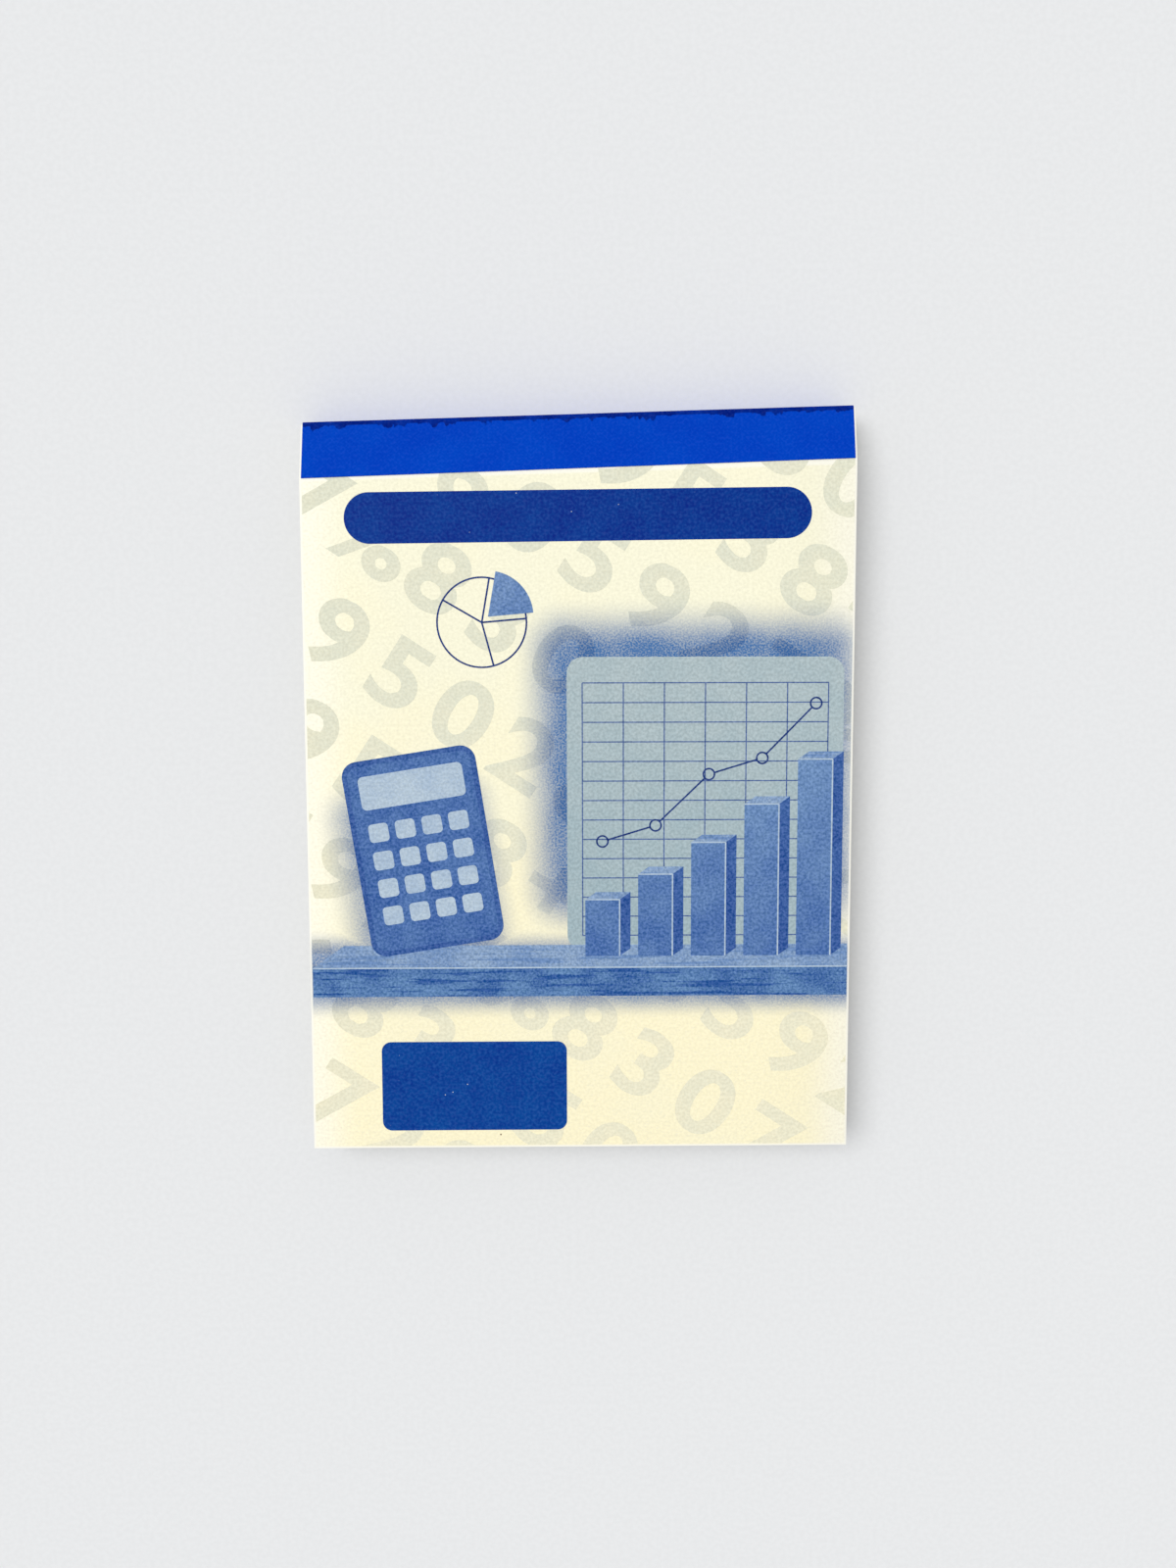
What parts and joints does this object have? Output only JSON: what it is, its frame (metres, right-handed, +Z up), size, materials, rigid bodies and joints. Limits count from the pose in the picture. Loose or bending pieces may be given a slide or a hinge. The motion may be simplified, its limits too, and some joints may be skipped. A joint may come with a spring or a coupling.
{
  "type": "invoice book",
  "caption": "Small top-bound tear-off pad: card cover, perforated form sheets, grey back board, staples, padding glue and cloth tape folded round the bound edge.",
  "frame": {"origin": "centre of the underside, on the surface that the pad lies on", "axes": "+Z up through the pad to the cover, +Y towards the bound edge, +X across the pad"},
  "size_m": [0.085, 0.1163, 0.0091],
  "materials": {
    "cover_card": "uncoated cream card with a fine grain and printed plain shapes",
    "form_paper": "matt off-white paper with thin blue rulings",
    "grey_board": "matt grey board with fibre flecks",
    "binding_tape": "saturated blue cloth tape with a faint weave and a dark worn fold",
    "padding_glue": "dried cream padding glue",
    "stitching_wire": "galvanised wire"
  },
  "bodies": {
    "bound_block": {"back_board": "grey_board", "binding_tape": "binding_tape", "spine_glue": "padding_glue", "staple_left": "stitching_wire", "staple_right": "stitching_wire", "cover_binding_strip": "cover_card", "sheet_01_stub": "form_paper", "sheet_02_stub": "form_paper", "sheet_03_stub": "form_paper", "sheet_04_stub": "form_paper", "sheet_05_stub": "form_paper", "sheet_06_stub": "form_paper", "sheet_07": "form_paper", "sheet_08": "form_paper", "sheet_09": "form_paper", "sheet_10": "form_paper", "sheet_11": "form_paper", "sheet_12": "form_paper", "sheet_13": "form_paper", "sheet_14": "form_paper", "sheet_15": "form_paper", "sheet_16": "form_paper", "sheet_17": "form_paper", "sheet_18": "form_paper", "sheet_19": "form_paper", "sheet_20": "form_paper", "sheet_21": "form_paper", "sheet_22": "form_paper", "sheet_23": "form_paper", "sheet_24": "form_paper", "sheet_25": "form_paper", "sheet_26": "form_paper", "sheet_27": "form_paper", "sheet_28": "form_paper", "sheet_29": "form_paper", "sheet_30": "form_paper", "sheet_31": "form_paper", "sheet_32": "form_paper", "sheets_33_to_38": "form_paper", "sheets_39_to_44": "form_paper", "sheets_45_to_50": "form_paper", "sheets_51_to_56": "form_paper", "sheets_57_to_62": "form_paper", "sheets_63_to_68": "form_paper", "sheets_69_to_74": "form_paper", "sheets_75_to_80": "form_paper"},
    "cover": {"front_cover": "cover_card"},
    "leaf_01": {"sheet_01_margin": "form_paper"},
    "form_01": {"sheet_01_form": "form_paper"},
    "leaf_02": {"sheet_02_leaf": "form_paper"},
    "leaf_03": {"sheet_03_leaf": "form_paper"},
    "leaf_04": {"sheet_04_leaf": "form_paper"},
    "leaf_05": {"sheet_05_leaf": "form_paper"},
    "leaf_06": {"sheet_06_leaf": "form_paper"}
  },
  "joints": [
    {"name": "cover_turn", "type": "hinge", "parent": "bound_block", "child": "cover", "pos_m": [0, 0.04795, 0.00901], "axis": [-0.9995, -0.0306, 0], "range_deg": [0, 184]},
    {"name": "sheet_01_turn", "type": "hinge", "parent": "bound_block", "child": "leaf_01", "pos_m": [0, 0.04795, 0.00901], "axis": [-0.9995, -0.0306, 0], "range_deg": [0, 175]},
    {"name": "sheet_02_turn", "type": "hinge", "parent": "bound_block", "child": "leaf_02", "pos_m": [0, 0.04795, 0.00901], "axis": [-0.9995, -0.0306, 0], "range_deg": [0, 148]},
    {"name": "sheet_03_turn", "type": "hinge", "parent": "bound_block", "child": "leaf_03", "pos_m": [0, 0.04795, 0.00901], "axis": [-0.9995, -0.0306, 0], "range_deg": [0, 120]},
    {"name": "sheet_04_turn", "type": "hinge", "parent": "bound_block", "child": "leaf_04", "pos_m": [0, 0.04795, 0.00901], "axis": [-0.9995, -0.0306, 0], "range_deg": [0, 93]},
    {"name": "sheet_05_turn", "type": "hinge", "parent": "bound_block", "child": "leaf_05", "pos_m": [0, 0.04795, 0.00901], "axis": [-0.9995, -0.0306, 0], "range_deg": [0, 65]},
    {"name": "sheet_06_turn", "type": "hinge", "parent": "bound_block", "child": "leaf_06", "pos_m": [0, 0.04795, 0.00901], "axis": [-0.9995, -0.0306, 0], "range_deg": [0, 37]},
    {"name": "form_tear_off", "type": "slide", "parent": "leaf_01", "child": "form_01", "axis": [0, -1, 0], "range_m": [0, 0.11]}
  ],
  "couplings": [
    {"joint": "sheet_01_turn", "follows": "cover_turn", "ratio": 0.95},
    {"joint": "sheet_02_turn", "follows": "cover_turn", "ratio": 0.8},
    {"joint": "sheet_03_turn", "follows": "cover_turn", "ratio": 0.65},
    {"joint": "sheet_04_turn", "follows": "cover_turn", "ratio": 0.5},
    {"joint": "sheet_05_turn", "follows": "cover_turn", "ratio": 0.35},
    {"joint": "sheet_06_turn", "follows": "cover_turn", "ratio": 0.2}
  ]
}
